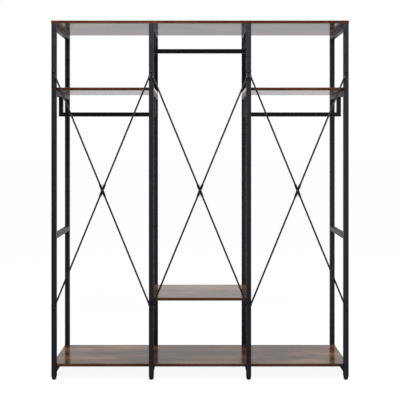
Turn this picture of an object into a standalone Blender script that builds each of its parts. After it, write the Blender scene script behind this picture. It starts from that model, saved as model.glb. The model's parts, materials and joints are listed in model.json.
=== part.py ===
"""Clothes rack: four side frames of square steel tube, five boards, three garment rails
hung below crossbars, an X of flattened rods behind each bay, and eight levelling feet.

Metres, +Z up. X runs along the rack, Y through its depth. The braces are on the -Y side.
The origin is on the floor, under the middle of the whole rack, braces included.
"""

import math

import bmesh
import bpy
from mathutils import Matrix, Vector

MM = 0.001

# Overall size of the rack, without the braces that stand out behind it
RACK_WIDTH = 1500 * MM
RACK_DEPTH = 400 * MM
RACK_HEIGHT = 1810 * MM

# Clearance between two pieces that touch, and between a pin and its hole
GAP = 0.3 * MM

# Square steel tube of the side frames
SIDE_FRAMES = 4
TUBE_SIDE = 25 * MM
TUBE_WALL = 1.2 * MM
TUBE_CORNER = 2 * MM

# Boards: the side shelves are set down from the rack's top, the low ones up from the floor
BOARD_THICKNESS = 15 * MM
BOARD_EDGE_RADIUS = 0.8 * MM
TOP_BOARD_OVERHANG = 1.5 * MM
SIDE_SHELF_DROP = 335 * MM
CENTRE_SHELF_TOP = 410 * MM
BOTTOM_BOARD_TOP = 76 * MM

# Middle height of the one rung in each outer frame
RUNG_HEIGHT = 721.5 * MM

# Garment rails: a lighter square tube with mitred corners, hung below two crossbars
RAIL_SIDE = 22 * MM
RAIL_WALL = 1.2 * MM
RAIL_CORNER = 2 * MM
RAIL_DROP = 100 * MM

# Braces: round rod pressed flat at both ends and in the middle. A flat runs on past the
# place where it parts from the flat of the rod that it lies on
ROD_DIAMETER = 9 * MM
ROD_FLAT_THICKNESS = 2.4 * MM
ROD_FLAT_WIDTH = 13.4 * MM
BRACE_TOP_DROP = 260 * MM
BRACE_BOTTOM_HOLE = 359 * MM
END_FLAT_RUN_ON = 2.4 * MM
MIDDLE_FLAT_RUN_ON = 8.4 * MM
FLAT_EASE_LENGTH = 12 * MM

# Machine screws of the braces and rails, with their nuts
SCREW_DIAMETER = 6 * MM
SCREW_LENGTH = 12 * MM
SCREW_TIP_CHAMFER = 0.6 * MM
SCREW_HEAD_DIAMETER = 10.5 * MM
SCREW_HEAD_HEIGHT = 3.3 * MM
NUT_ACROSS_FLATS = 10 * MM
NUT_HEIGHT = 5 * MM

# Holes in the crossbars: through holes for board screws, and a driver's way to a rail's screw
BOARD_SCREW_DIAMETER = 4.2 * MM
BOARD_SCREW_BITE = 11 * MM
BOARD_SCREW_INSET = 65 * MM
DRIVER_HOLE_DIAMETER = 13 * MM

# Threaded plates welded inside the feet ends of the posts and the upper ends of the rails
END_PLATE_THICKNESS = 8 * MM
END_PLATE_RECESS = 1 * MM
WELD_DEPTH = 0.4 * MM

# Levelling feet: a plastic dome moulded on a stud, a little narrower than the post above
FOOT_HEIGHT = 17 * MM
FOOT_RIM_HEIGHT = 4 * MM
FOOT_INSET = 0.2 * MM
FOOT_TIP_DIAMETER = 11 * MM
STUD_DIAMETER = 8 * MM
STUD_LENGTH = 28 * MM
STUD_TIP_CHAMFER = 1 * MM

# How finely round shapes are divided
ROD_SIDES = 12
SCREW_SIDES = 12
BOARD_SCREW_SIDES = 6
FOOT_SIDES = 16
CORNER_STEPS = 2
DOME_STEPS = 6
SMOOTH_ANGLE = math.radians(32)

# Places worked out from the sizes above
FRAME_SPAN = RACK_WIDTH - 2 * TOP_BOARD_OVERHANG
FRAME_PITCH = (FRAME_SPAN - TUBE_SIDE) / (SIDE_FRAMES - 1)
FRAME_X = [(i - (SIDE_FRAMES - 1) / 2) * FRAME_PITCH for i in range(SIDE_FRAMES)]
BACK_FACE = -RACK_DEPTH / 2
POST_Y = (RACK_DEPTH - TUBE_SIDE) / 2
POST_BOTTOM = FOOT_HEIGHT + GAP
POST_TOP = RACK_HEIGHT - BOARD_THICKNESS - GAP
SIDE_SHELF_TOP = RACK_HEIGHT - SIDE_SHELF_DROP
BETWEEN_POSTS = RACK_DEPTH - 2 * TUBE_SIDE - 2 * GAP
BOARD_SCREW_Y = RACK_DEPTH / 2 - TUBE_SIDE - BOARD_SCREW_INSET
SMALLEST_STEP = GAP / 100

# The braces' run and rise from hole to hole, and how far from a hole two of them part
BRACE_TOP_HOLE = RACK_HEIGHT - BRACE_TOP_DROP
BRACE_RISE = BRACE_TOP_HOLE - BRACE_BOTTOM_HOLE
BRACE_ANGLE = math.atan2(FRAME_PITCH, BRACE_RISE)
FLATS_PART = ROD_FLAT_WIDTH / 2 / math.sin(BRACE_ANGLE)

# The braces' distances out from the back face
ROD_LAYER = ROD_FLAT_THICKNESS + GAP
BRACE_STAND_OUT = GAP + ROD_LAYER + ROD_DIAMETER
CROSSING_MIDDLE = GAP + ROD_DIAMETER / 2
CROSSING_HALF_STACK = ROD_LAYER / 2 + ROD_FLAT_THICKNESS / 2 + GAP

# Directions of holes, and a turn that lays a piece made along Z along Y, its top outward
UPWARD = (0, 0, 1)
INWARD = (0, 1, 0)
LYING_BACK = (math.radians(90), 0, 0)


def remove_everything():
    for obj in list(bpy.data.objects):
        bpy.data.objects.remove(obj, do_unlink=True)


def new_collection(name):
    collection = bpy.data.collections.new(name)
    bpy.context.scene.collection.children.link(collection)
    return collection


def new_material(name, colour, roughness, metallic):
    material = bpy.data.materials.new(name)
    material.use_nodes = True
    shader = material.node_tree.nodes["Principled BSDF"]
    shader.inputs["Base Color"].default_value = (*colour, 1)
    shader.inputs["Roughness"].default_value = roughness
    shader.inputs["Metallic"].default_value = metallic
    return material


remove_everything()
parts = new_collection("clothes_rack")
cutters = new_collection("cutters")

# The braces add depth behind only, so half of that brings the middle over the origin
rack_origin = bpy.data.objects.new("rack_origin", None)
rack_origin.location = (0, BRACE_STAND_OUT / 2, 0)
parts.objects.link(rack_origin)

black_steel = new_material("powder_coated_steel", (0.028, 0.029, 0.033), 0.42, 0.0)
brown_board = new_material("melamine_board", (0.095, 0.048, 0.028), 0.35, 0.0)
black_plastic = new_material("moulded_plastic", (0.012, 0.012, 0.013), 0.45, 0.0)
dark_screw = new_material("blackened_steel", (0.03, 0.03, 0.032), 0.38, 1.0)


def add_part(name, mesh, material, location=(0, 0, 0), rotation=(0, 0, 0)):
    """A named piece of the rack, placed in the rack's own frame."""
    if not mesh.materials:
        mesh.materials.append(material)
    part = bpy.data.objects.new(name, mesh)
    part.location = location
    part.rotation_euler = rotation
    part.parent = rack_origin
    parts.objects.link(part)
    return part


def mesh_from(name, shape):
    """Turns a finished bmesh into a mesh that is smooth except at its sharp edges."""
    mesh = bpy.data.meshes.new(name)
    shape.to_mesh(mesh)
    shape.free()
    mesh.shade_smooth()
    mesh.set_sharp_from_angle(angle=SMOOTH_ANGLE)
    return mesh


def welded_mesh(maker):
    """The evaluated shape of a curve, or of a profile with its modifier, as one closed mesh."""
    bpy.context.scene.collection.objects.link(maker)
    depsgraph = bpy.context.evaluated_depsgraph_get()
    evaluated = bpy.data.meshes.new_from_object(maker.evaluated_get(depsgraph))
    name = maker.name
    bpy.data.objects.remove(maker, do_unlink=True)
    shape = bmesh.new()
    shape.from_mesh(evaluated)
    bpy.data.meshes.remove(evaluated)
    bmesh.ops.remove_doubles(shape, verts=shape.verts, dist=SMALLEST_STEP)
    bmesh.ops.recalc_face_normals(shape, faces=shape.faces)
    return mesh_from(name, shape)


def regular_outline(radius, sides):
    turn = 2 * math.pi / sides
    return [(radius * math.cos(i * turn), radius * math.sin(i * turn)) for i in range(sides)]


def square_outline(side):
    half = side / 2
    return [(half, half), (-half, half), (-half, -half), (half, -half)]


def rounded_square_outline(side, corner):
    points = []
    for quarter, (x, y) in enumerate(square_outline(side - 2 * corner)):
        for step in range(CORNER_STEPS + 1):
            angle = math.radians(90) * (quarter + step / CORNER_STEPS)
            points.append((x + corner * math.cos(angle), y + corner * math.sin(angle)))
    return points


def extruded_mesh(name, outlines, height):
    """A flat outline, the later outlines being holes in it, drawn out along Z about its middle."""
    curve = bpy.data.curves.new(name, "CURVE")
    curve.dimensions = "2D"
    curve.fill_mode = "BOTH"
    curve.extrude = height / 2
    for outline in outlines:
        spline = curve.splines.new("POLY")
        spline.points.add(len(outline) - 1)
        for point, (x, y) in zip(spline.points, outline):
            point.co = (x, y, 0, 1)
        spline.use_cyclic_u = True
    return welded_mesh(bpy.data.objects.new(name, curve))


def turned_mesh(name, profile, sides):
    """A profile of (radius, height) points, top to bottom down its outer side, turned about Z."""
    line = bpy.data.meshes.new(name)
    points = [(radius, 0, height) for radius, height in profile]
    edges = [(i, i + 1) for i in range(len(points) - 1)]
    line.from_pydata(points, edges, [])
    maker = bpy.data.objects.new(name, line)
    turn = maker.modifiers.new("turn", "SCREW")
    turn.axis = "Z"
    turn.steps = sides
    turn.render_steps = sides
    turn.use_merge_vertices = True
    turn.merge_threshold = SMALLEST_STEP
    return welded_mesh(maker)


def square_tube_mesh(name, length):
    outer = rounded_square_outline(TUBE_SIDE, TUBE_CORNER)
    inner = square_outline(TUBE_SIDE - 2 * TUBE_WALL)
    return extruded_mesh(name, [outer, inner], length)


def change_shape(part, name, mesh, operation):
    """Joins a mesh, given in the rack's own frame, to a part, or takes it away."""
    helper = bpy.data.objects.new(name, mesh)
    helper.parent = rack_origin
    helper.hide_render = True
    helper.display_type = "WIRE"
    cutters.objects.link(helper)
    change = part.modifiers.new(name, "BOOLEAN")
    change.operation = operation
    change.solver = "EXACT"
    change.object = helper


def drill(part, holes):
    """Cuts round holes, each given as its middle, direction, corner radius, length and sides."""
    shape = bmesh.new()
    for middle, direction, radius, length, sides in holes:
        turn = Vector(UPWARD).rotation_difference(Vector(direction)).to_matrix().to_4x4()
        bmesh.ops.create_cone(
            shape,
            cap_ends=True,
            segments=sides,
            radius1=radius,
            radius2=radius,
            depth=length,
            matrix=Matrix.Translation(middle) @ turn,
        )
    name = f"{part.name}_holes"
    change_shape(part, name, mesh_from(name, shape), "DIFFERENCE")


def hole_radius(pin_diameter, sides):
    """Corner radius of a many-sided hole whose flats clear a pin by the gap."""
    return (pin_diameter / 2 + GAP) / math.cos(math.pi / sides)


def board_screw_hole(x, y, middle_z, length):
    radius = hole_radius(BOARD_SCREW_DIAMETER, BOARD_SCREW_SIDES)
    return ((x, y, middle_z), UPWARD, radius, length, BOARD_SCREW_SIDES)


def machine_screw_hole(middle, direction, length):
    radius = hole_radius(SCREW_DIAMETER, SCREW_SIDES)
    return (middle, direction, radius, length, SCREW_SIDES)


def weld_end_plate(part, x, y, end_z, into_tube, side, wall):
    """Fills a tube's end a little inside its mouth; the plate reaches into the wall."""
    inner = side - 2 * wall + 2 * WELD_DEPTH
    middle_z = end_z + into_tube * (END_PLATE_RECESS + END_PLATE_THICKNESS / 2)
    shape = bmesh.new()
    bmesh.ops.create_cube(shape, size=1)
    bmesh.ops.scale(shape, vec=(inner, inner, END_PLATE_THICKNESS), verts=shape.verts)
    bmesh.ops.translate(shape, vec=(x, y, middle_z), verts=shape.verts)
    name = f"{part.name}_end_plate_{x:.3f}"
    change_shape(part, name, mesh_from(name, shape), "UNION")
    return middle_z


# Side frames

def frame_x(number):
    """Middle of a side frame, numbered from 1 at the left."""
    return FRAME_X[number - 1]


def make_post(name, mesh, x, y):
    """A post with its foot's threaded plate."""
    post = add_part(name, mesh, black_steel, (x, y, (POST_TOP + POST_BOTTOM) / 2))
    plate_z = weld_end_plate(post, x, y, POST_BOTTOM, 1, TUBE_SIDE, TUBE_WALL)
    radius = hole_radius(STUD_DIAMETER, FOOT_SIDES)
    length = 2 * END_PLATE_THICKNESS
    return post, [((x, y, plate_z), UPWARD, radius, length, FOOT_SIDES)]


def weld_nuts(post, x):
    """Nuts on the inside of the braced wall, at both of its screw heights."""
    wall_inside = BACK_FACE + TUBE_WALL
    height = NUT_HEIGHT + WELD_DEPTH
    outline = regular_outline(NUT_ACROSS_FLATS / 2 / math.cos(math.pi / 6), 6)
    lying = Matrix.Rotation(math.radians(90), 4, "X")
    for label, z in (("low", BRACE_BOTTOM_HOLE), ("high", BRACE_TOP_HOLE)):
        name = f"{post.name}_{label}_nut"
        nut = extruded_mesh(name, [outline], height)
        place = Matrix.Translation((x, wall_inside - WELD_DEPTH + height / 2, z))
        nut.transform(place @ lying)
        change_shape(post, name, nut, "UNION")


def make_posts():
    mesh = square_tube_mesh("post", POST_TOP - POST_BOTTOM)
    for number, x in enumerate(FRAME_X, 1):
        front, holes = make_post(f"front_post_{number}", mesh, x, POST_Y)
        drill(front, holes)
        back, holes = make_post(f"back_post_{number}", mesh, x, -POST_Y)
        weld_nuts(back, x)
        for z in (BRACE_BOTTOM_HOLE, BRACE_TOP_HOLE):
            holes.append(machine_screw_hole((x, BACK_FACE, z), INWARD, TUBE_SIDE))
        drill(back, holes)


def bar_height_under(board_top):
    """Middle height of a crossbar that carries a board with this top face."""
    return board_top - BOARD_THICKNESS - GAP - TUBE_SIDE / 2


def make_bar(name, mesh, x, z, carries_board, carries_rail):
    """A crossbar, drilled for the screws of its board and for the screw of a rail."""
    bar = add_part(name, mesh, black_steel, (x, 0, z), LYING_BACK)
    holes = []
    if carries_board:
        for y in (-BOARD_SCREW_Y, BOARD_SCREW_Y):
            holes.append(board_screw_hole(x, y, z, 2 * TUBE_SIDE))
    if carries_rail:
        lower_wall = (x, 0, z - TUBE_SIDE / 2)
        upper_wall = (x, 0, z + TUBE_SIDE / 2)
        holes.append(machine_screw_hole(lower_wall, UPWARD, TUBE_SIDE / 2))
        driver_radius = DRIVER_HOLE_DIAMETER / 2
        holes.append((upper_wall, UPWARD, driver_radius, TUBE_SIDE / 2, SCREW_SIDES))
    if holes:
        drill(bar, holes)


def make_bars():
    mesh = square_tube_mesh("bar", BETWEEN_POSTS)
    top_z = bar_height_under(RACK_HEIGHT)
    shelf_z = bar_height_under(SIDE_SHELF_TOP)
    centre_z = bar_height_under(CENTRE_SHELF_TOP)
    bottom_z = bar_height_under(BOTTOM_BOARD_TOP)
    for number, x in enumerate(FRAME_X, 1):
        outer = number in (1, SIDE_FRAMES)
        make_bar(f"top_bar_{number}", mesh, x, top_z, True, not outer)
        make_bar(f"shelf_bar_{number}", mesh, x, shelf_z, True, True)
        make_bar(f"bottom_bar_{number}", mesh, x, bottom_z, True, False)
        if outer:
            make_bar(f"side_rung_{number}", mesh, x, RUNG_HEIGHT, False, False)
        else:
            make_bar(f"centre_bar_{number}", mesh, x, centre_z, True, False)


# Boards

def make_board(name, first, last, top, depth, overhang=0):
    """A board over some of the side frames, with two blind holes over each crossbar."""
    left = frame_x(first) - TUBE_SIDE / 2 - overhang
    right = frame_x(last) + TUBE_SIDE / 2 + overhang
    shape = bmesh.new()
    bmesh.ops.create_cube(shape, size=1)
    bmesh.ops.scale(shape, vec=(right - left, depth, BOARD_THICKNESS), verts=shape.verts)
    middle = ((left + right) / 2, 0, top - BOARD_THICKNESS / 2)
    board = add_part(name, mesh_from(name, shape), brown_board, middle)
    edges = board.modifiers.new("eased edges", "BEVEL")
    edges.width = BOARD_EDGE_RADIUS
    edges.segments = 2
    underside = top - BOARD_THICKNESS
    hole_length = 2 * (BOARD_SCREW_BITE + GAP)
    holes = []
    for number in range(first, last + 1):
        for y in (-BOARD_SCREW_Y, BOARD_SCREW_Y):
            holes.append(board_screw_hole(frame_x(number), y, underside, hole_length))
    drill(board, holes)


def make_boards():
    make_board("top_board", 1, 4, RACK_HEIGHT, RACK_DEPTH, TOP_BOARD_OVERHANG)
    make_board("left_shelf", 1, 2, SIDE_SHELF_TOP, BETWEEN_POSTS)
    make_board("right_shelf", 3, 4, SIDE_SHELF_TOP, BETWEEN_POSTS)
    make_board("centre_shelf", 2, 3, CENTRE_SHELF_TOP, BETWEEN_POSTS)
    make_board("bottom_board", 1, 4, BOTTOM_BOARD_TOP, BETWEEN_POSTS)


# Garment rails

def make_rail(name, first, last, board_top):
    """A U of tube under the crossbars that carry this board: leg, mitre, rail, mitre, leg."""
    bar_underside = bar_height_under(board_top) - TUBE_SIDE / 2
    legs_top = bar_underside - GAP
    rail_z = bar_underside - RAIL_DROP + RAIL_SIDE / 2
    left, right = frame_x(first), frame_x(last)
    outline = rounded_square_outline(RAIL_SIDE, RAIL_CORNER)
    rings = [
        [(left - out, y, legs_top) for out, y in outline],
        [(left - out, y, rail_z - out) for out, y in outline],
        [(right + out, y, rail_z - out) for out, y in outline],
        [(right + out, y, legs_top) for out, y in outline],
    ]
    shape = bmesh.new()
    skin_between(shape, rings)
    rail = add_part(name, mesh_from(name, shape), black_steel)
    wall = rail.modifiers.new("wall", "SOLIDIFY")
    wall.thickness = RAIL_WALL
    wall.offset = -1
    wall.use_even_offset = True
    holes = []
    for x in (left, right):
        plate_z = weld_end_plate(rail, x, 0, legs_top, -1, RAIL_SIDE, RAIL_WALL)
        holes.append(machine_screw_hole((x, 0, plate_z), UPWARD, 2 * END_PLATE_THICKNESS))
    drill(rail, holes)


def skin_between(shape, rings):
    """Lofts a skin through rings of as many points each, and gives back their vertices."""
    loops = [[shape.verts.new(point) for point in ring] for ring in rings]
    for first, second in zip(loops, loops[1:]):
        for i in range(len(first)):
            j = (i + 1) % len(first)
            shape.faces.new((first[i], first[j], second[j], second[i]))
    bmesh.ops.recalc_face_normals(shape, faces=shape.faces)
    return loops


def make_rails():
    make_rail("left_rail", 1, 2, SIDE_SHELF_TOP)
    make_rail("centre_rail", 2, 3, RACK_HEIGHT)
    make_rail("right_rail", 3, 4, SIDE_SHELF_TOP)


# Braces

def rod_ring(along, flatness, half_width, centre_out):
    """Points round the rod at one place along it, between a circle and a flattened strip."""
    radius = ROD_DIAMETER / 2
    ring = []
    for i in range(ROD_SIDES):
        angle = 2 * math.pi * i / ROD_SIDES
        level = max(-1, min(1, 2 * math.sin(angle)))
        flat_x = half_width * math.cos(angle)
        flat_y = level * ROD_FLAT_THICKNESS / 2
        x = radius * math.cos(angle) * (1 - flatness) + flat_x * flatness
        y = radius * math.sin(angle) * (1 - flatness) + flat_y * flatness
        ring.append((x, y - centre_out, along))
    return ring


def end_rings(layer, hole, inward):
    """Rings from a rod's rounded tip over its end flat to where it is round again."""
    half_width = ROD_FLAT_WIDTH / 2
    back = GAP + layer * ROD_LAYER
    flat_middle = back + ROD_FLAT_THICKNESS / 2
    round_middle = back + ROD_DIAMETER / 2
    rings = []
    for degrees in (75, 50, 25):
        angle = math.radians(degrees)
        along = hole - inward * half_width * math.sin(angle)
        rings.append(rod_ring(along, 1, half_width * math.cos(angle), flat_middle))
    flat_end = hole + inward * (FLATS_PART + END_FLAT_RUN_ON)
    round_start = flat_end + inward * FLAT_EASE_LENGTH
    rings.append(rod_ring(hole, 1, half_width, flat_middle))
    rings.append(rod_ring(flat_end, 1, half_width, flat_middle))
    rings.append(rod_ring(round_start, 0, half_width, round_middle))
    return rings


def middle_rings(crossing, centre_out):
    half_width = ROD_FLAT_WIDTH / 2
    half_flat = FLATS_PART + MIDDLE_FLAT_RUN_ON
    half_all = half_flat + FLAT_EASE_LENGTH
    steps = [(-half_all, 0), (-half_flat, 1), (half_flat, 1), (half_all, 0)]
    return [rod_ring(crossing + step, flat, half_width, centre_out) for step, flat in steps]


def brace_mesh(name, length, bottom_layer, top_layer, crossing_out):
    """A rod along Z from its bottom hole to its top hole."""
    rings = end_rings(bottom_layer, 0, 1)
    rings += middle_rings(length / 2, crossing_out)
    rings += reversed(end_rings(top_layer, length, -1))
    shape = bmesh.new()
    loops = skin_between(shape, rings)
    shape.faces.new(loops[0])
    shape.faces.new(loops[-1])
    bmesh.ops.recalc_face_normals(shape, faces=shape.faces)
    return mesh_from(name, shape)


def end_layer(number, rising):
    """On an inner post the rising rod lies over the falling one; an outer post has one rod."""
    inner = 1 < number < SIDE_FRAMES
    return 1 if rising and inner else 0


def make_brace(name, left, rising):
    """One rod of a bay's X, between the side frame on the bay's left and the next one."""
    bottom = left if rising else left + 1
    top = left + 1 if rising else left
    run = frame_x(top) - frame_x(bottom)
    crossing_out = CROSSING_MIDDLE + (ROD_LAYER / 2 if rising else -ROD_LAYER / 2)
    layers = (end_layer(bottom, rising), end_layer(top, rising))
    mesh = brace_mesh(name, math.hypot(run, BRACE_RISE), *layers, crossing_out)
    start = (frame_x(bottom), BACK_FACE, BRACE_BOTTOM_HOLE)
    brace = add_part(name, mesh, black_steel, start, (0, math.atan2(run, BRACE_RISE), 0))
    holes = []
    for share in (0, 0.5, 1):
        middle = Vector(start) + share * Vector((run, 0, BRACE_RISE))
        holes.append(machine_screw_hole(middle, INWARD, 2 * TUBE_SIDE))
    drill(brace, holes)


def make_braces():
    for left, bay in enumerate(("left", "centre", "right"), 1):
        make_brace(f"{bay}_brace_falling", left, False)
        make_brace(f"{bay}_brace_rising", left, True)


# Screws and nuts of the braces

def machine_screw_mesh():
    """A domed screw that points down, its head's seat at height 0."""
    head = SCREW_HEAD_DIAMETER / 2
    shank = SCREW_DIAMETER / 2
    profile = []
    for degrees in (0, 30, 60, 90):
        angle = math.radians(degrees)
        profile.append((head * math.sin(angle), SCREW_HEAD_HEIGHT * math.cos(angle)))
    profile.append((shank, 0))
    profile.append((shank, -SCREW_LENGTH + SCREW_TIP_CHAMFER))
    profile.append((shank - SCREW_TIP_CHAMFER, -SCREW_LENGTH))
    profile.append((0, -SCREW_LENGTH))
    return turned_mesh("machine_screw", profile, SCREW_SIDES)


def nut_mesh():
    outer = regular_outline(NUT_ACROSS_FLATS / 2 / math.cos(math.pi / 6), 6)
    bore = regular_outline(hole_radius(SCREW_DIAMETER, SCREW_SIDES), SCREW_SIDES)
    return extruded_mesh("nut", [outer, bore], NUT_HEIGHT)


def make_post_screws(screw):
    """A screw at each brace hole of the back posts, over one rod or two."""
    for number, x in enumerate(FRAME_X, 1):
        rods = 1 + end_layer(number, True)
        seat = BACK_FACE - GAP - rods * ROD_LAYER
        for label, z in (("low", BRACE_BOTTOM_HOLE), ("high", BRACE_TOP_HOLE)):
            name = f"brace_screw_{label}_{number}"
            add_part(name, screw, dark_screw, (x, seat, z), LYING_BACK)


def make_crossing_screws(screw):
    """A screw and a nut through the middle of each X."""
    nut = nut_mesh()
    z = (BRACE_TOP_HOLE + BRACE_BOTTOM_HOLE) / 2
    seat = BACK_FACE - CROSSING_MIDDLE - CROSSING_HALF_STACK
    nut_y = BACK_FACE - CROSSING_MIDDLE + CROSSING_HALF_STACK + NUT_HEIGHT / 2
    for left, bay in enumerate(("left", "centre", "right"), 1):
        x = (frame_x(left) + frame_x(left + 1)) / 2
        add_part(f"{bay}_crossing_screw", screw, dark_screw, (x, seat, z), LYING_BACK)
        add_part(f"{bay}_crossing_nut", nut, dark_screw, (x, nut_y, z), LYING_BACK)


# Feet

def foot_mesh():
    """A stud, the flat top that meets the post, a short rim and a dome with a flat tip."""
    stud = STUD_DIAMETER / 2
    stud_top = FOOT_HEIGHT + STUD_LENGTH
    rim = TUBE_SIDE / 2 - FOOT_INSET
    tip = FOOT_TIP_DIAMETER / 2
    dome_height = FOOT_HEIGHT - FOOT_RIM_HEIGHT
    profile = [
        (0, stud_top),
        (stud - STUD_TIP_CHAMFER, stud_top),
        (stud, stud_top - STUD_TIP_CHAMFER),
        (stud, FOOT_HEIGHT),
        (rim, FOOT_HEIGHT),
    ]
    for step in range(DOME_STEPS + 1):
        angle = math.radians(90) * step / DOME_STEPS
        radius = tip + (rim - tip) * math.cos(angle)
        profile.append((radius, dome_height * (1 - math.sin(angle))))
    profile.append((0, 0))
    return turned_mesh("foot", profile, FOOT_SIDES)


def make_feet():
    """A foot under each post, its origin on the axis that it screws along."""
    foot = foot_mesh()
    for number, x in enumerate(FRAME_X, 1):
        add_part(f"front_foot_{number}", foot, black_plastic, (x, POST_Y, 0))
        add_part(f"back_foot_{number}", foot, black_plastic, (x, -POST_Y, 0))


make_posts()
make_bars()
make_boards()
make_rails()
make_braces()
machine_screw = machine_screw_mesh()
make_post_screws(machine_screw)
make_crossing_screws(machine_screw)
make_feet()
bpy.context.view_layer.update()
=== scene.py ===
import json
import math

import bmesh
import bpy
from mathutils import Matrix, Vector


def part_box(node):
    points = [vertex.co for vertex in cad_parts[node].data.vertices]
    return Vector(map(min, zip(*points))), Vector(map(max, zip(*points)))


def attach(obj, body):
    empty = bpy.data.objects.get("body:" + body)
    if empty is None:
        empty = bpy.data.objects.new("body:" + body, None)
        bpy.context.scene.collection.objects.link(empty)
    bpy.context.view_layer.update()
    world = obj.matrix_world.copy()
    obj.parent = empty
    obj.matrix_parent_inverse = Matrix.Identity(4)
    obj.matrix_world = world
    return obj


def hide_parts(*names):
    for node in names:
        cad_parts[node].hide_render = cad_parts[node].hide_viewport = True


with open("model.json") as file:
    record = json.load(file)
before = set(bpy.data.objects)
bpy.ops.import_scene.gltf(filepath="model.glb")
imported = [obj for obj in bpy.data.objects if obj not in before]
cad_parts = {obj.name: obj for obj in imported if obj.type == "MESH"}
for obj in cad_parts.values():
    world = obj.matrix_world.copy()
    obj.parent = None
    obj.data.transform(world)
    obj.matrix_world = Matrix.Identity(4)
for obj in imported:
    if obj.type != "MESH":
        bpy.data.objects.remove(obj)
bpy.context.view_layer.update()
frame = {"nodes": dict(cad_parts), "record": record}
mm = 0.001
rackBody = "rack"
bays = ("left", "centre", "right")
frameNumbers = (1, 2, 3, 4)
quarterTurn, halfTurn = math.radians(90), math.radians(180)
hexagonFlat = math.cos(math.pi / 6)  # how near a hexagon's flats are, its corners being at 1
print("frame loaded:", len(frame["nodes"]), "nodes")


def corners(nodeName):
    low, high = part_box(nodeName)
    return Vector(low), Vector(high)


def middle(nodeName):
    low, high = corners(nodeName)
    return (low + high) / 2


def undersideMiddle(nodeName):
    low, high = corners(nodeName)
    return Vector(((low.x + high.x) / 2, (low.y + high.y) / 2, low.z))


def linearColour(hexColour):
    channels = [int(hexColour[i:i + 2], 16) / 255 for i in (1, 3, 5)]
    linear = [c / 12.92 if c <= 0.04045 else ((c + 0.055) / 1.055) ** 2.4 for c in channels]
    return (*linear, 1)


# Camera: level, on the braced side, with the view shifted down to the rack

camera = {
    "place": (-0.0124, -3.849, 1.1785),
    "sensor": 36,
    "lens": 65.4,
    "shift": (0.0061, -0.135),
}

cameraData = bpy.data.cameras.new("camera")
cameraData.sensor_width = camera["sensor"]
cameraData.lens = camera["lens"]
cameraData.shift_x, cameraData.shift_y = camera["shift"]
cameraObject = bpy.data.objects.new("camera", cameraData)
cameraObject.location = camera["place"]
cameraObject.rotation_euler = (quarterTurn, 0, 0)
bpy.context.scene.collection.objects.link(cameraObject)
bpy.context.scene.camera = cameraObject
bpy.context.scene.view_settings.view_transform = "Standard"


# Materials. The inputs of a node are numbers, colours or other nodes' outputs, in the order
# of its sockets or by their names

def addNode(tree, kind, inputs=(), **settings):
    node = tree.nodes.new("ShaderNode" + kind)
    for name, value in settings.items():
        setattr(node, name, value)
    for socket, value in inputs.items() if isinstance(inputs, dict) else enumerate(inputs):
        if isinstance(value, bpy.types.NodeSocket):
            tree.links.new(value, node.inputs[socket])
        else:
            node.inputs[socket].default_value = value
    return node


def newMaterial(name, values):
    material = bpy.data.materials.new(name)
    material.use_nodes = True
    shader = material.node_tree.nodes["Principled BSDF"]
    for socket, value in values.items():
        shader.inputs[socket].default_value = value
    return material, material.node_tree, shader


# Powder coat: polyester powder baked on steel. The resin flows out to a satin skin that is
# near black face on, goes grey at a glancing angle and has a faint orange peel
powderCoat = {
    "colour": "#18171d",
    "cloudColour": "#201e26",
    "cloudSize": 55 * mm,
    "cloudRange": (0.3, 0.7),
    "roughness": (0.4, 0.5),
    "gleam": "#f8f6ff",
    "peelSize": 2.4 * mm,  # the real peel is under 1 mm, too fine to show
    "peelDepth": 0.012 * mm,
}
blackPowderCoat, tree, shader = newMaterial("blackPowderCoat", {
    "IOR": 1.5, "Specular IOR Level": 0.45, "Specular Tint": linearColour(powderCoat["gleam"]),
})
place = addNode(tree, "TexCoord").outputs["Object"]
cloud = addNode(tree, "TexNoise", {
    "Vector": place, "Scale": 1 / powderCoat["cloudSize"], "Detail": 3, "Roughness": 0.6,
}).outputs["Fac"]
peel = addNode(tree, "TexNoise", {
    "Vector": place, "Scale": 1 / powderCoat["peelSize"], "Detail": 1, "Roughness": 0.4,
}).outputs["Fac"]
tint = addNode(tree, "Mix", {
    0: cloud, 6: linearColour(powderCoat["colour"]), 7: linearColour(powderCoat["cloudColour"]),
}, data_type="RGBA").outputs[2]
satin = addNode(
    tree, "MapRange", (cloud, *powderCoat["cloudRange"], *powderCoat["roughness"])
).outputs[0]
relief = addNode(tree, "Bump", {
    "Height": peel, "Strength": 1, "Distance": powderCoat["peelDepth"],
}).outputs[0]
tree.links.new(tint, shader.inputs["Base Color"])
tree.links.new(satin, shader.inputs["Roughness"])
tree.links.new(relief, shader.inputs["Normal"])

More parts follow.
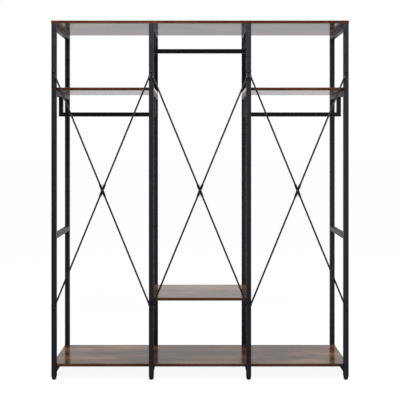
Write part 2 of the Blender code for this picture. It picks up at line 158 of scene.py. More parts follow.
# Melamine: paper printed with rustic oak, pressed under clear resin on particle board, its
# edges banded with the same print. Smooth resin over brown grain, knots and dark streaks
melamine = {
    "shades": (("#2b1a11", 0.28), ("#452a1c", 0.42), ("#613f2b", 0.56), ("#83603f", 0.76)),
    "tone": 0.59,
    # Each pattern: its size along and across the grain, its fineness and where it starts
    "patch": (420 * mm, 105 * mm, 3, 0.4),
    "streak": (190 * mm, 11 * mm, 2, 5.2),
    "pore": (70 * mm, 2 * mm, 2, 1.3),  # real pores are 0.3 mm across, too fine to show
    "wander": (1300 * mm, 150 * mm, 2, 3.1),
    "sink": (1500 * mm, 1500 * mm, 1, 8.7),
    "shares": {"patch": 1.2, "streak": 0.6, "pore": 0.5, "heart": -0.4, "swirl": -0.07},
    # Growth rings round a log's middle line, which wanders sideways and sinks
    "ringSpacing": 13 * mm,
    "ringShare": 0.12,
    "ringStart": -0.3,  # of the wave from ring to ring, where the late wood sets in
    "ringFading": (1.2, 0.5),  # from dark to pale patches
    "pushes": {"wander": 280 * mm, "streak": 6 * mm, "sink": 660 * mm, "swirl": 22 * mm},
    "lineDepth": 50 * mm,
    "heartwood": 70 * mm,  # no spot lies nearer to the middle line, so no ring closes
    "knots": (
        (597, -16, 76), (-560, 88, 76), (72, 118, 76), (-118, -46, 410), (-330, -76, 1810),
        (428, 96, 1810), (-602, -58, 1475), (352, 84, 1475), (-40, 60, 1795), (330, -90, 1795),
    ),
    "knotSize": (10 * mm, 6 * mm, 6 * mm),
    "knotReach": {"heart": (1.2, 0.3), "swirl": (7, 0.8)},  # in knot sizes, to none and full
    "endsFrom": 0.7,  # how squarely a face looks along the rack to count as an end
    "band": ("#452315", 0.8),  # the edge banding's own darker print, and its share
    "bandFading": (0.3, 0.7),  # from faces that look sideways to ones that look up or down
    "contrast": (-0.15, 0.15),  # where the patches and pores have their full effect
    "roughness": (0.13, 0.2),
    "poreDepth": 0.004 * mm,
}
rusticMelamine, tree, shader = newMaterial("rusticMelamine", {"IOR": 1.5})
coordinates = addNode(tree, "TexCoord").outputs
parts = addNode(tree, "SeparateXYZ", (coordinates["Object"],)).outputs
facing = addNode(tree, "SeparateXYZ", (coordinates["Normal"],)).outputs

# On the boards' end faces the grain runs from front to back
turned = addNode(tree, "CombineXYZ", (parts["Y"], parts["X"], parts["Z"])).outputs[0]
towardsEnd = addNode(tree, "Math", (facing["X"],), operation="ABSOLUTE").outputs[0]
onEnd = addNode(
    tree, "Math", (towardsEnd, melamine["endsFrom"]), operation="GREATER_THAN"
).outputs[0]
grainPlace = addNode(
    tree, "Mix", {0: onEnd, 4: coordinates["Object"], 5: turned}, data_type="VECTOR"
).outputs[1]


def grainPattern(along, across, fineness, start):
    scaled = addNode(tree, "Mapping", {
        "Vector": grainPlace, "Location": (start, start, start),
        "Scale": (1 / along, 1 / across, 1 / across),
    }).outputs[0]
    noise = addNode(tree, "TexNoise", {
        "Vector": scaled, "Scale": 1, "Detail": fineness, "Roughness": 0.55,
    }).outputs["Fac"]
    return addNode(tree, "Math", (noise, 0.5), operation="SUBTRACT").outputs[0]


grain = {name: grainPattern(*melamine[name])
         for name in ("patch", "streak", "pore", "wander", "sink")}

# Knots: a dark heart, and the grain parts in a swirl round it
grain["heart"] = grain["swirl"] = 0
for x, y, z in melamine["knots"]:
    offset = addNode(
        tree, "VectorMath", (coordinates["Object"], (x * mm, y * mm, z * mm)),
        operation="SUBTRACT",
    ).outputs[0]
    shrunk = addNode(
        tree, "VectorMath", (offset, melamine["knotSize"]), operation="DIVIDE"
    ).outputs[0]
    away = addNode(tree, "VectorMath", (shrunk,), operation="LENGTH").outputs["Value"]
    for name, reach in melamine["knotReach"].items():
        closeness = addNode(
            tree, "MapRange", (away, *reach, 0, 1), interpolation_type="SMOOTHSTEP"
        ).outputs[0]
        grain[name] = addNode(
            tree, "Math", (grain[name], closeness), operation="MAXIMUM"
        ).outputs[0]

# Growth rings: waves by the distance from the log's middle line
pushes = melamine["pushes"]
offLine = addNode(tree, "SeparateXYZ", (grainPlace,)).outputs["Y"]
for name in ("wander", "streak"):
    offLine = addNode(
        tree, "Math", (grain[name], pushes[name], offLine), operation="MULTIPLY_ADD"
    ).outputs[0]
depth = addNode(
    tree, "Math", (grain["sink"], pushes["sink"], melamine["lineDepth"]),
    operation="MULTIPLY_ADD",
).outputs[0]
fromLine = addNode(tree, "CombineXYZ", (offLine, depth, melamine["heartwood"])).outputs[0]
radius = addNode(tree, "VectorMath", (fromLine,), operation="LENGTH").outputs["Value"]
radius = addNode(
    tree, "Math", (grain["swirl"], pushes["swirl"], radius), operation="MULTIPLY_ADD"
).outputs[0]
turns = addNode(
    tree, "Math", (radius, 2 * math.pi / melamine["ringSpacing"]), operation="MULTIPLY"
).outputs[0]
wave = addNode(tree, "Math", (turns,), operation="SINE").outputs[0]
lateWood = addNode(
    tree, "MapRange", (wave, melamine["ringStart"], 1, 0, melamine["ringShare"]),
    interpolation_type="SMOOTHSTEP",
).outputs[0]
fading = addNode(
    tree, "MapRange", (grain["patch"], *melamine["contrast"], *melamine["ringFading"]),
    interpolation_type="SMOOTHSTEP",
).outputs[0]
lateWood = addNode(tree, "Math", (lateWood, fading), operation="MULTIPLY").outputs[0]

# Tone: every pattern's share added up, then turned into the print's shades
tone = addNode(tree, "Math", (melamine["tone"], lateWood), operation="SUBTRACT").outputs[0]
for name, share in melamine["shares"].items():
    tone = addNode(
        tree, "Math", (grain[name], share, tone), operation="MULTIPLY_ADD"
    ).outputs[0]
printed = addNode(tree, "ValToRGB", (tone,))
stops = printed.color_ramp.elements
for _ in melamine["shades"][2:]:
    stops.new(0.5)
for stop, (shade, position) in zip(stops, melamine["shades"]):
    stop.position, stop.color = position, linearColour(shade)
bandColour, bandShare = melamine["band"]
upwards = addNode(tree, "Math", (facing["Z"],), operation="ABSOLUTE").outputs[0]
banding = addNode(
    tree, "MapRange", (upwards, *melamine["bandFading"], bandShare, 0),
    interpolation_type="SMOOTHSTEP",
).outputs[0]
banded = addNode(
    tree, "Mix", {0: banding, 6: printed.outputs["Color"], 7: linearColour(bandColour)},
    data_type="RGBA",
).outputs[2]
sheen = addNode(
    tree, "MapRange", (grain["pore"], *melamine["contrast"], *melamine["roughness"]),
    interpolation_type="SMOOTHSTEP",
).outputs[0]
relief = addNode(tree, "Bump", {
    "Height": grain["pore"], "Strength": 1, "Distance": melamine["poreDepth"],
}).outputs[0]
tree.links.new(banded, shader.inputs["Base Color"])
tree.links.new(sheen, shader.inputs["Roughness"])
tree.links.new(relief, shader.inputs["Normal"])

# Feet: polypropylene moulded in a spark-eroded tool, so black with a fine matt grain
feetPlastic = {"colour": "#121213", "grain": 0.9 * mm, "grainDepth": 0.03 * mm}
mouldedPolypropylene, tree, shader = newMaterial("mouldedPolypropylene", {
    "Base Color": linearColour(feetPlastic["colour"]), "Roughness": 0.42, "IOR": 1.49,
})
place = addNode(tree, "TexCoord").outputs["Object"]
sparkGrain = addNode(tree, "TexNoise", {
    "Vector": place, "Scale": 1 / feetPlastic["grain"], "Detail": 2,
}).outputs["Fac"]
relief = addNode(tree, "Bump", {
    "Height": sparkGrain, "Strength": 1, "Distance": feetPlastic["grainDepth"],
}).outputs[0]
tree.links.new(relief, shader.inputs["Normal"])

# Screws and nuts: steel in a hot black oxide bath, dark grey with an oily gleam
oxide = {"light": "#48484c", "dark": "#2b2b2e", "blotch": 3 * mm, "detail": 3, "roughness": 0.34}
# Foot studs: rolled steel thread, zinc plated in a barrel, pale with a blue cast
zinc = {"light": "#b9bfc6", "dark": "#8d939a", "blotch": 4 * mm, "detail": 2, "roughness": 0.3}


def blotchedSteel(name, steel):
    material, tree, shader = newMaterial(
        name, {"Metallic": 1, "Roughness": steel["roughness"]}
    )
    place = addNode(tree, "TexCoord").outputs["Object"]
    blotch = addNode(tree, "TexNoise", {
        "Vector": place, "Scale": 1 / steel["blotch"], "Detail": steel["detail"],
    }).outputs["Fac"]
    tint = addNode(tree, "Mix", {
        0: blotch, 6: linearColour(steel["light"]), 7: linearColour(steel["dark"]),
    }, data_type="RGBA").outputs[2]
    tree.links.new(tint, shader.inputs["Base Color"])
    return material


blackOxideSteel = blotchedSteel("blackOxideSteel", oxide)
zincPlatedSteel = blotchedSteel("zincPlatedSteel", zinc)

finishes = {
    "frame_steel": blackPowderCoat,
    "brace_rod": blackPowderCoat,
    "boards": rusticMelamine,
    "feet": mouldedPolypropylene,
    "fasteners": blackOxideSteel,
}
slotOfNode = {row["node"]: row["material_slot"] for row in frame["record"]["subparts"]}
for nodeName, node in frame["nodes"].items():
    for slot in node.material_slots:
        slot.material = finishes[slotOfNode[nodeName]]
print("materials ready")


# Shaping: an operator acts on all that is selected, so each step picks by place first

def startShape(addPrimitive, **sizes):
    bpy.ops.object.select_all(action="DESELECT")
    addPrimitive(**sizes)
    bpy.ops.object.transform_apply(location=True, rotation=True, scale=True)
    bpy.ops.object.mode_set(mode="EDIT")
    bpy.ops.mesh.select_mode(type="VERT")


def pick(kind, test):
    shape = bmesh.from_edit_mesh(bpy.context.object.data)
    for item in (*shape.faces, *shape.edges, *shape.verts):
        item.select = False
    for item in getattr(shape, kind):
        if test(item):
            item.select = True
    shape.select_flush_mode()
    bmesh.update_edit_mesh(bpy.context.object.data)


def drawOut(move, scale=(1, 1, 1), pivot=(0, 0, 0)):
    bpy.ops.mesh.extrude_region_move(TRANSFORM_OT_translate={"value": move})
    if scale != (1, 1, 1):
        bpy.ops.transform.resize(value=scale, center_override=pivot)


# Draws a selected ring out from one radius and height of a turned profile to the next
def followProfile(profile):
    (radius, height), *rest = profile
    for nextRadius, nextHeight in rest:
        share = nextRadius / radius
        drawOut((0, 0, nextHeight - height), (share, share, 1), (0, 0, nextHeight))
        radius, height = nextRadius, nextHeight


def turnedShape(profile, sides):
    radius, height = profile[0]
    startShape(
        bpy.ops.mesh.primitive_circle_add, vertices=sides, radius=radius,
        fill_type="NGON", location=(0, 0, height),
    )
    followProfile(profile)


def smoothBelow(degrees):
    bpy.ops.object.shade_smooth_by_angle(angle=math.radians(degrees))


def endShape(smoothAngle):
    bpy.ops.mesh.select_all(action="SELECT")
    bpy.ops.mesh.remove_doubles(threshold=0.001 * mm)
    bpy.ops.mesh.normals_make_consistent(inside=False)
    bpy.ops.object.mode_set(mode="OBJECT")
    smoothBelow(smoothAngle)
    return bpy.context.object


def placeCopy(model, place, turn=(0, 0, 0)):
    bpy.ops.object.select_all(action="DESELECT")
    piece = model.copy()
    piece.data = model.data.copy()
    bpy.context.scene.collection.objects.link(piece)
    piece.location = place
    piece.rotation_euler = turn
    piece.select_set(True)
    bpy.context.view_layer.objects.active = piece
    bpy.ops.object.transform_apply(location=True, rotation=True, scale=True)
    return piece


def removeModels(*models):
    for model in models:
        bpy.data.objects.remove(model)


def cutWith(piece, tool, operation):
    change = piece.modifiers.new("cut", "BOOLEAN")
    change.operation = operation
    change.solver = "EXACT"
    change.object = tool
    bpy.context.view_layer.objects.active = piece
    bpy.ops.object.modifier_apply(modifier=change.name)
    removeModels(tool)


def joinPieces(pieces):
    bpy.ops.object.select_all(action="DESELECT")
    for piece in pieces:
        piece.select_set(True)
    bpy.context.view_layer.objects.active = pieces[0]
    bpy.ops.object.join()
    return pieces[0]


def finishPiece(piece, name, finish, slotName, body, *replaced):
    piece.name = piece.data.name = name
    piece.data.materials.clear()
    piece.data.materials.append(finish)
    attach(piece, body)
    if replaced:
        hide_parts(*replaced)


# Braces: round rod pressed flat at its ends and at the crossing

rod = {
    "diameter": 9 * mm,
    "flat": (13.4 * mm, 2.4 * mm),
    "clearance": 0.3 * mm,
    "endRunOn": 2.4 * mm,
    "middleRunOn": 8.4 * mm,
    "ease": 12 * mm,
    "easeSteps": (0, 0.25, 0.5, 0.75, 1),
    "tipAngles": (80, 62, 44, 26, 10),
    "sides": 24,
    "smoothBelow": 40,  # degrees between two faces, as for all the shapes
}
slack = 0.01 * mm  # for picking corners by their place
backFace = corners("back_post_1")[0].y
holeLow = middle("brace_screw_low_1").z
holeHigh = middle("brace_screw_high_1").z
frameX = [middle(f"back_post_{number}").x for number in frameNumbers]
bayWidth = frameX[1] - frameX[0]
rodLength = math.hypot(bayWidth, holeHigh - holeLow)
rodLean = math.atan2(bayWidth, holeHigh - holeLow)
rodRadius = rod["diameter"] / 2
halfFlat, halfThick = rod["flat"][0] / 2, rod["flat"][1] / 2
rodLayer = rod["flat"][1] + rod["clearance"]
flatsPart = halfFlat / math.sin(rodLean)  # from a hole to where the two rods part


# A station is one outline of the rod: how far along, half its width and height, the half
# height that the press leaves, and how far its middle stands out from the posts
def rodStation(along, press, out, share=1):
    wide = (rodRadius + (halfFlat - rodRadius) * press) * share
    high = rodRadius + (2 * halfThick - rodRadius) * press
    limit = rodRadius + (halfThick - rodRadius) * press
    return along, wide, high, limit, out


def easeStations(start, outFrom, outTo, pressFrom, pressTo):
    stations = []
    for step in rod["easeSteps"]:
        eased = step * step * (3 - 2 * step)
        stations.append(rodStation(
            start + step * rod["ease"],
            pressFrom + (pressTo - pressFrom) * eased,
            outFrom + (outTo - outFrom) * eased,
        ))
    return stations


def endStations(layer):
    flatOut = rod["clearance"] + layer * rodLayer + halfThick
    roundOut = rod["clearance"] + layer * rodLayer + rodRadius
    stations = []
    for degrees in rod["tipAngles"]:
        angle = math.radians(degrees)
        stations.append(
            rodStation(-halfFlat * math.sin(angle), 1, flatOut, math.cos(angle))
        )
    flatEnd = flatsPart + rod["endRunOn"]
    return stations + easeStations(flatEnd, flatOut, roundOut, 1, 0)


def rodShape(bottomLayer, topLayer, crossingOut):
    halfMiddle = flatsPart + rod["middleRunOn"]
    stations = endStations(bottomLayer)
    stations += easeStations(
        rodLength / 2 - halfMiddle - rod["ease"], crossingOut, crossingOut, 0, 1
    )
    stations += easeStations(rodLength / 2 + halfMiddle, crossingOut, crossingOut, 1, 0)
    stations += [
        (rodLength - along, *rest) for along, *rest in reversed(endStations(topLayer))
    ]
    along, wide, high, _, out = stations[0]
    startShape(
        bpy.ops.mesh.primitive_circle_add, vertices=rod["sides"], radius=1,
        fill_type="NGON", location=(0, -out, along),
    )
    bpy.ops.transform.resize(value=(wide, high, 1), center_override=(0, -out, along))
    for nextAlong, nextWide, nextHigh, _, nextOut in stations[1:]:
        drawOut(
            (0, out - nextOut, nextAlong - along), (nextWide / wide, nextHigh / high, 1),
            (0, -nextOut, nextAlong),
        )
        along, wide, high, out = nextAlong, nextWide, nextHigh, nextOut
    for along, wide, high, limit, out in stations:
        if limit < high - slack:
            for side in (-1, 1):
                pick("verts", lambda vert: abs(vert.co.z - along) < slack
                     and side * (vert.co.y + out) > limit)
                bpy.ops.transform.resize(
                    value=(1, 0, 1), center_override=(0, side * limit - out, along)
                )
    return endShape(rod["smoothBelow"])


def endLayer(number, rising):
    return 1 if rising and number in (2, 3) else 0


crossingMiddle = rod["clearance"] + rodRadius
for left, bay in enumerate(bays, 1):
    for rising in (False, True):
        bottom, top = (left, left + 1) if rising else (left + 1, left)
        crossingOut = crossingMiddle + (rodLayer / 2 if rising else -rodLayer / 2)
        model = rodShape(endLayer(bottom, rising), endLayer(top, rising), crossingOut)
        lean = rodLean if rising else -rodLean
        piece = placeCopy(model, (frameX[bottom - 1], backFace, holeLow), (0, lean, 0))
        removeModels(model)
        nodeName = f"{bay}_brace_{'rising' if rising else 'falling'}"
        finishPiece(
            piece, f"{nodeName}_rod", blackPowderCoat, "brace_rod", rackBody, nodeName
        )
print("braces shaped")


# Screws with a domed head and a hexagon socket, their seat at height 0, pointing down

button = {
    "head": (10.5 * mm, 3.3 * mm),
    "land": 2.9 * mm,
    "socket": (4 * mm, 2 * mm),
    "shank": (6 * mm, 12 * mm),
    "point": 0.6 * mm,
    "domeSteps": 5,
    "sides": 24,
    "smoothBelow": 34,
}


def buttonScrewShape():
    headRadius, headHeight = button["head"][0] / 2, button["head"][1]
    shankRadius, shankLength = button["shank"][0] / 2, button["shank"][1]
    land, point, steps = button["land"], button["point"], button["domeSteps"]
    landHeight = headHeight * math.sqrt(1 - (land / headRadius) ** 2)
    socketRadius = button["socket"][0] / 2 / hexagonFlat
    startShape(
        bpy.ops.mesh.primitive_circle_add, vertices=6, radius=socketRadius,
        fill_type="NGON", location=(0, 0, landHeight - button["socket"][1]),
    )
    drawOut((0, 0, button["socket"][1]))
    bpy.ops.mesh.delete(type="ONLY_FACE")
    bpy.ops.mesh.primitive_circle_add(
        vertices=button["sides"], radius=land, fill_type="NOTHING", location=(0, 0, landHeight)
    )
    pick("verts", lambda vert: vert.co.z > landHeight - slack)
    bpy.ops.mesh.bridge_edge_loops()
    pick("verts", lambda vert: vert.co.xy.length > land - slack)
    profile = [(land, landHeight)]
    startAngle = math.asin(land / headRadius)
    for step in range(1, steps + 1):
        angle = startAngle + (quarterTurn - startAngle) * step / steps
        profile.append((headRadius * math.sin(angle), headHeight * math.cos(angle)))
    profile += [(shankRadius, 0), (shankRadius, point - shankLength),
                (shankRadius - point, -shankLength)]
    followProfile(profile)
    bpy.ops.mesh.edge_face_add()
    return endShape(button["smoothBelow"])


buttonScrew = buttonScrewShape()
lyingBack = (quarterTurn, 0, 0)
screwNodes = [f"brace_screw_{level}_{number}" for level in ("low", "high")
              for number in frameNumbers]
screwNodes += [f"{bay}_crossing_screw" for bay in bays]
for nodeName in screwNodes:
    seat = middle(nodeName)
    seat.y = corners(nodeName)[0].y + button["head"][1]
    finishPiece(
        placeCopy(buttonScrew, seat, lyingBack), f"{nodeName}_button", blackOxideSteel,
        "fasteners", rackBody, nodeName,
    )

# The same screws stand in the crossbars and hold the rails' legs from above
legScrews = {"wall": 1.2 * mm, "under": ("shelf_bar_1", "shelf_bar_2", "shelf_bar_3",
                                         "shelf_bar_4", "top_bar_2", "top_bar_3")}
for barName in legScrews["under"]:
    place = undersideMiddle(barName)
    place.z += legScrews["wall"]
    finishPiece(
        placeCopy(buttonScrew, place), f"{barName}_leg_screw", blackOxideSteel,
        "fasteners", rackBody,
    )
removeModels(buttonScrew)

# Nuts: a hexagon whose corners a lathe has taken off

nut = {
    "flats": 10 * mm,
    "height": 5 * mm,
    "bore": 6.2 * mm,
    "chamfer": 0.7 * mm,
    "latheSides": 48,
    "boreSides": 24,
    "smoothBelow": 20,
}


def nutShape():
    halfHeight, boreRadius = nut["height"] / 2, nut["bore"] / 2
    cornerRadius = nut["flats"] / 2 / hexagonFlat
    edge = cornerRadius - nut["chamfer"]
    turnedShape(
        [(edge, halfHeight), (cornerRadius, halfHeight - nut["chamfer"] / 2),
         (cornerRadius, nut["chamfer"] / 2 - halfHeight), (edge, -halfHeight)],
        nut["latheSides"],
    )
    barrel = endShape(nut["smoothBelow"])
    turnedShape(
        [(boreRadius, 2 * halfHeight), (boreRadius, -2 * halfHeight)], nut["boreSides"]
    )
    bore = endShape(nut["smoothBelow"])
    startShape(
        bpy.ops.mesh.primitive_cylinder_add, vertices=6, radius=cornerRadius,
        depth=nut["height"],
    )
    hexagon = endShape(nut["smoothBelow"])
    cutWith(hexagon, barrel, "INTERSECT")
    cutWith(hexagon, bore, "DIFFERENCE")
    smoothBelow(nut["smoothBelow"])
    return hexagon


nutModel = nutShape()
for bay in bays:
    nodeName = f"{bay}_crossing_nut"
    finishPiece(
        placeCopy(nutModel, middle(nodeName), lyingBack), f"{nodeName}_hex",
        blackOxideSteel, "fasteners", rackBody, nodeName,
    )
removeModels(nutModel)
print("screws and nuts shaped")

# Board screws: pan heads with a cross recess, up through the crossbars into the boards

wood = {
    "head": (8 * mm, 2.6 * mm),
    "pan": ((0.62, 1), (0.9, 0.8), (1, 0.4), (0.97, 0)),  # shares of the radius and height
    "shank": 4 * mm,
    "length": 36 * mm,
    "point": (0.2 * mm, 6 * mm),
    "recess": (4.6 * mm, 1 * mm, 1.5 * mm),
    "recessFloor": 0.6,  # share of its width at the top
    "apart": 220 * mm,
    "sides": 16,
    "smoothBelow": 40,
}


def boardScrewShape():
    headRadius, headHeight = wood["head"][0] / 2, wood["head"][1]
    shankRadius, length = wood["shank"] / 2, wood["length"]
    pointRadius, pointLength = wood["point"]
    profile = [(headRadius * across, headHeight * up) for across, up in wood["pan"]]
    profile += [(shankRadius, 0), (shankRadius, pointLength - length), (pointRadius, -length)]
    turnedShape(profile, wood["sides"])
    screw = endShape(wood["smoothBelow"])
    long, wide, deep = wood["recess"]
    for sizes in ((long, wide), (wide, long)):
        startShape(bpy.ops.mesh.primitive_cube_add, size=1, location=(0, 0, headHeight))
        bpy.ops.transform.resize(value=(*sizes, 2 * deep), center_override=(0, 0, headHeight))
        pick("verts", lambda vert: vert.co.z < headHeight)
        bpy.ops.transform.resize(
            value=(wood["recessFloor"], wood["recessFloor"], 1),
            center_override=(0, 0, headHeight - deep),
        )
        cutWith(screw, endShape(wood["smoothBelow"]), "DIFFERENCE")
    smoothBelow(wood["smoothBelow"])
    return screw


boardScrew = boardScrewShape()
boardBars = [f"{level}_bar_{number}" for level in ("top", "shelf", "bottom")
             for number in frameNumbers] + ["centre_bar_2", "centre_bar_3"]
for barName in boardBars:
    for label, side in (("rear", -1), ("fore", 1)):
        place = undersideMiddle(barName)
        place.y += side * wood["apart"] / 2
        finishPiece(
            placeCopy(boardScrew, place, (halfTurn, 0, 0)), f"{barName}_board_screw_{label}",
            blackOxideSteel, "fasteners", rackBody,
        )
removeModels(boardScrew)
print("board screws placed")

# Welds: a fillet bead in each corner under a crossbar, and over the ones that carry no
# board, with the butt seam round the bar's end ground nearly flush

bead = {
    "radius": 2.6 * mm,
    "length": 21 * mm,
    "ripples": 13,
    "rippleSizes": (0.86, 1),
    "endSize": 0.5,
    "sides": 12,
    "sink": 0.4 * mm,
    "smoothBelow": 50,
}
seam = {
    "side": 24.7 * mm,
    "thickness": 0.6 * mm,
    "corner": 2.2 * mm,
    "cornerSteps": 4,
    "gap": 0.3 * mm,
    "smoothBelow": 40,
}


def beadShape():
    radius, rings = bead["radius"], 2 * bead["ripples"]
    step = bead["length"] / rings
    sizes = [bead["rippleSizes"][ring % 2] for ring in range(rings - 1)]
    sizes = [bead["endSize"], *sizes, bead["endSize"]]
    turnedShape([(radius * size, ring * step) for ring, size in enumerate(sizes)],
                bead["sides"])
    bpy.ops.mesh.select_all(action="SELECT")
    bpy.ops.transform.translate(value=(0, 0, -bead["length"] / 2))
    bpy.ops.transform.rotate(
        value=quarterTurn, orient_axis="Y", center_override=(0, 0, 0)
    )
    for planePoint, planeNormal in (
        ((0, -bead["sink"], 0), (0, -1, 0)), ((0, 0, bead["sink"]), (0, 0, 1)),
    ):
        bpy.ops.mesh.select_all(action="SELECT")
        bpy.ops.mesh.bisect(
            plane_co=planePoint, plane_no=planeNormal, use_fill=True, clear_outer=True
        )
    return endShape(bead["smoothBelow"])


# A thin upright plate with rounded corners, left in edit mode
def groundSeam(side, thickness, corner):
    startShape(bpy.ops.mesh.primitive_cube_add, size=1)
    bpy.ops.transform.resize(value=(side, thickness, side), center_override=(0, 0, 0))
    bpy.ops.mesh.select_mode(type="EDGE")
    pick("edges", lambda edge: edge.calc_length() < thickness + slack)
    bpy.ops.mesh.bevel(offset=corner, segments=seam["cornerSteps"])


beadModel = beadShape()
groundSeam(seam["side"], seam["thickness"], seam["corner"])
seamModel = endShape(seam["smoothBelow"])
for number in frameNumbers:
    bars = [f"{level}_bar_{number}" for level in ("top", "shelf", "bottom")]
    bars.append(f"side_rung_{number}" if number in (1, 4) else f"centre_bar_{number}")
    pieces = []
    for barName in bars:
        low, high = corners(barName)
        x, _, z = middle(barName)
        for y, inward, turn, over in (
            (low.y - seam["gap"], 1, (0, 0, 0), (0, halfTurn, 0)),
            (high.y + seam["gap"], -1, (0, 0, halfTurn), (halfTurn, 0, 0)),
        ):
            pieces.append(placeCopy(beadModel, (x, y, low.z), turn))
            pieces.append(placeCopy(seamModel, (x, y + inward * seam["thickness"] / 2, z)))
            if "rung" in barName:
                pieces.append(placeCopy(beadModel, (x, y, high.z), over))
    finishPiece(
        joinPieces(pieces), f"frame_{number}_welds", blackPowderCoat, "frame_steel", rackBody
    )
removeModels(beadModel, seamModel)

# Mitre welds: a ground seam stands a hair proud round each corner of the rails

mitre = {"proud": 0.2 * mm, "thickness": 1 * mm, "corner": 2.2 * mm}


def mitreShape(side):
    groundSeam(side, mitre["thickness"], mitre["corner"])
    bpy.ops.mesh.select_all(action="SELECT")
    bpy.ops.transform.rotate(
        value=quarterTurn, orient_axis="X", center_override=(0, 0, 0)
    )
    bpy.ops.transform.resize(value=(math.sqrt(2), 1, 1), center_override=(0, 0, 0))
    return endShape(seam["smoothBelow"])


for left, bay in enumerate(bays):
    low, high = corners(f"{bay}_rail")
    railSide = high.y - low.y
    mitreModel = mitreShape(railSide + 2 * mitre["proud"])
    y, z = (low.y + high.y) / 2, low.z + railSide / 2
    pieces = [
        placeCopy(mitreModel, (frameX[left], y, z), (0, -quarterTurn / 2, 0)),
        placeCopy(mitreModel, (frameX[left + 1], y, z), (0, quarterTurn / 2, 0)),
    ]
    removeModels(mitreModel)
    finishPiece(
        joinPieces(pieces), f"{bay}_rail_welds", blackPowderCoat, "frame_steel", rackBody
    )
print("welds placed")

# Feet: a moulded dome with a softened rim and a hollow tip, on a rolled thread

foot = {
    "rim": 24.6 * mm,
    "rimHeight": 4 * mm,
    "tip": 11 * mm,
    "height": 17 * mm,
    "soft": 0.5 * mm,
    "softMiddle": 0.15 * mm,  # how far the softened corner's middle lies in
    "domeInset": 0.2 * mm,
    "domeSteps": 12,
    "hollow": ((0.75, 0), (0.7, 0.4 * mm)),  # shares of the tip's radius, and heights
    "sides": 32,
    "smoothBelow": 34,
}
stud = {
    "diameter": 8 * mm,
    "length": 28 * mm,
    "intoFoot": 1 * mm,
    "pitch": 1.25 * mm,
    "threadDepth": 0.65 * mm,
    "crest": (0.45, 0.6),  # where a crest starts and ends, in pitches
    "lead": (0.4 * mm, 0.6 * mm),  # how much thinner the end is, and over what length
    "sides": 20,
    "smoothBelow": 20,
}


def footShape():
    rim, tip, soft = foot["rim"] / 2, foot["tip"] / 2, foot["soft"]
    top, dome = foot["height"], foot["height"] - foot["rimHeight"]
    bend, domeRim = foot["softMiddle"], rim - foot["domeInset"]
    profile = [(rim - soft, top), (rim - bend, top - bend), (rim, top - soft),
               (rim, dome + soft), (domeRim, dome)]
    for step in range(1, foot["domeSteps"] + 1):
        angle = quarterTurn * step / foot["domeSteps"]
        profile.append(
            (tip + (domeRim - tip) * math.cos(angle), dome * (1 - math.sin(angle)))
        )
    profile += [(tip * share, height) for share, height in foot["hollow"]]
    turnedShape(profile, foot["sides"])
    return endShape(foot["smoothBelow"])


def studShape():
    radius, pitch, top = stud["diameter"] / 2, stud["pitch"], foot["height"]
    root, end = radius - stud["threadDepth"], top + stud["length"]
    leadDepth, leadLength = stud["lead"]
    height = end - leadLength
    profile = [(root - leadDepth, end), (root, height)]
    while height - pitch > top:
        profile += [(radius, height - pitch * share) for share in stud["crest"]]
        height -= pitch
        profile.append((root, height))
    profile.append((root, top - stud["intoFoot"]))
    turnedShape(profile, stud["sides"])
    return endShape(stud["smoothBelow"])


footModel, studModel = footShape(), studShape()
for row in ("back", "front"):
    for number in frameNumbers:
        nodeName = f"{row}_foot_{number}"
        place = undersideMiddle(nodeName)
        finishPiece(
            placeCopy(footModel, place), f"{nodeName}_dome", mouldedPolypropylene, "feet",
            nodeName, nodeName,
        )
        finishPiece(
            placeCopy(studModel, place), f"{nodeName}_stud", zincPlatedSteel, "fasteners",
            nodeName,
        )
removeModels(footModel, studModel)
print("feet placed")


# Light: a white studio, dark behind the camera, with soft boxes above. The world grows
# lighter from the camera's side to the backdrop, fades a little upwards and has a bright
# ceiling, and the camera itself sees plain white

studio = {
    "cameraSide": 0.06,
    "backdrop": 0.84,
    "backdropFrom": (-0.3, 0.85),  # parts of a direction, as all the world's ranges are
    "highUp": 0.6,
    "highUpFrom": (0.15, 0.5),
    "ceiling": 0.8,
    "ceilingFrom": (0.35, 0.9),
    "white": "#ffffff",
    "floorSize": 120,
    "floorPaint": "#e7e7e7",
    # The floor's glow in reflections, from painted shade in front of and under the rack to
    # painted light behind it
    "reflectedFloorShade": 0.08,
    "reflectedFloorLight": 0.94,
    "reflectedShadeToLight": (0.1, 2.5),  # metres behind the rack's middle
    "floorShare": 0.85,
    "floorWhite": 1.08,
    "reflectedFloorTint": "#f9f9ff",
}
world = bpy.data.worlds.new("studio")
bpy.context.scene.world = world
world.use_nodes = True
tree = world.node_tree
background = tree.nodes["Background"]
background.inputs["Color"].default_value = linearColour(studio["white"])
path = addNode(tree, "LightPath").outputs
direction = addNode(tree, "TexCoord").outputs["Generated"]
parts = addNode(tree, "SeparateXYZ", (direction,)).outputs
wall, fade, ceiling = [
    addNode(
        tree, "MapRange", (parts[axis], *reach, start, end), interpolation_type="SMOOTHSTEP"
    ).outputs[0]
    for axis, reach, start, end in (
        ("Y", studio["backdropFrom"], studio["cameraSide"], studio["backdrop"]),
        ("Z", studio["highUpFrom"], 1, studio["highUp"]),
        ("Z", studio["ceilingFrom"], 0, studio["ceiling"]),
    )
]
glow = addNode(tree, "Math", (wall, fade), operation="MULTIPLY").outputs[0]
glow = addNode(tree, "Math", (glow, ceiling), operation="MAXIMUM").outputs[0]
strength = addNode(
    tree, "Mix", {0: path["Is Camera Ray"], 2: glow, 3: 1}, data_type="FLOAT"
).outputs[0]
tree.links.new(strength, background.inputs["Strength"])
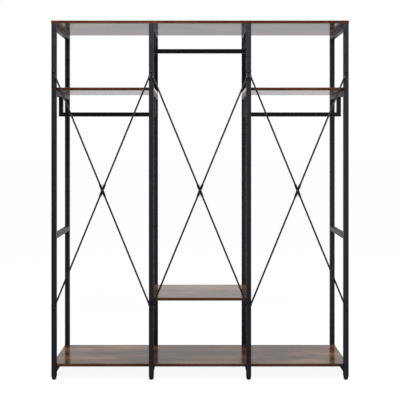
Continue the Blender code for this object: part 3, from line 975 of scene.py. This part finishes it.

# Floor: pale paint that takes the shadow, with an even white glow for the camera. In reflections
# it also glows, as painted shade in front of the rack and under it, rising to painted light
# behind it
bpy.ops.object.select_all(action="DESELECT")
bpy.ops.mesh.primitive_plane_add(size=studio["floorSize"], location=(0, 0, 0))
floor = bpy.context.object
floor.name = "floor"
floorPaint = bpy.data.materials.new("paleFloor")
floorPaint.use_nodes = True
tree = floorPaint.node_tree
tree.nodes.remove(tree.nodes["Principled BSDF"])
path = addNode(tree, "LightPath").outputs
floorPlace = addNode(tree, "TexCoord").outputs["Object"]
floorDepth = addNode(tree, "SeparateXYZ", (floorPlace,)).outputs["Y"]
mirrored = addNode(
    tree, "Math", (path["Is Glossy Ray"], path["Is Transmission Ray"]), operation="MAXIMUM"
).outputs[0]
seen = addNode(
    tree, "Math", (mirrored, path["Is Camera Ray"]), operation="MAXIMUM"
).outputs[0]
seenShare = addNode(tree, "Math", (seen, studio["floorShare"]), operation="MULTIPLY").outputs[0]
# Painted shade in reflections of the floor near the rack, rising to painted light further behind
paintedFloorLevel = addNode(
    tree, "MapRange",
    (floorDepth, *studio["reflectedShadeToLight"], studio["reflectedFloorShade"], studio["reflectedFloorLight"]),
    interpolation_type="SMOOTHSTEP",
).outputs[0]
plainGlow, paintedFloorReflection = [
    addNode(tree, "Emission", {
        "Strength": addNode(tree, "Math", (ray, level), operation="MULTIPLY").outputs[0],
        "Color": linearColour(colour),
    }).outputs[0]
    for ray, level, colour in (
        (path["Is Camera Ray"], studio["floorWhite"], studio["white"]),
        (mirrored, paintedFloorLevel, studio["reflectedFloorTint"]),
    )
]
matt = addNode(tree, "BsdfDiffuse", {"Color": linearColour(studio["floorPaint"])}).outputs[0]
bright = addNode(tree, "AddShader", (plainGlow, paintedFloorReflection)).outputs[0]
mixed = addNode(tree, "MixShader", (seenShare, matt, bright)).outputs[0]
tree.links.new(mixed, tree.nodes["Material Output"].inputs["Surface"])
floor.data.materials.append(floorPaint)

lamps = {
    "overhead": {
        "place": (0.1, -0.8, 2.7), "aim": (0, 0, 1.0), "size": (3.0, 0.8), "power": 34,
    },
    "frontTop": {
        "place": (0.2, -3.2, 4.6), "aim": (0, 0, 0.8), "size": (1.6, 1.2), "power": 74,
    },
    "lowRight": {
        "place": (2.7, -3.0, 0.8), "aim": (0.5, 0, 0.3), "size": (2.6, 1.5), "power": 17,
    },
}
for name, lamp in lamps.items():
    light = bpy.data.lights.new(name, "AREA")
    light.shape = "RECTANGLE"
    light.size, light.size_y = lamp["size"]
    light.energy = lamp["power"]
    lampObject = bpy.data.objects.new(name, light)
    lampObject.location = lamp["place"]
    aim = Vector(lamp["aim"]) - Vector(lamp["place"])
    lampObject.rotation_euler = aim.to_track_quat("-Z", "Y").to_euler()
    bpy.context.scene.collection.objects.link(lampObject)
print("studio ready")
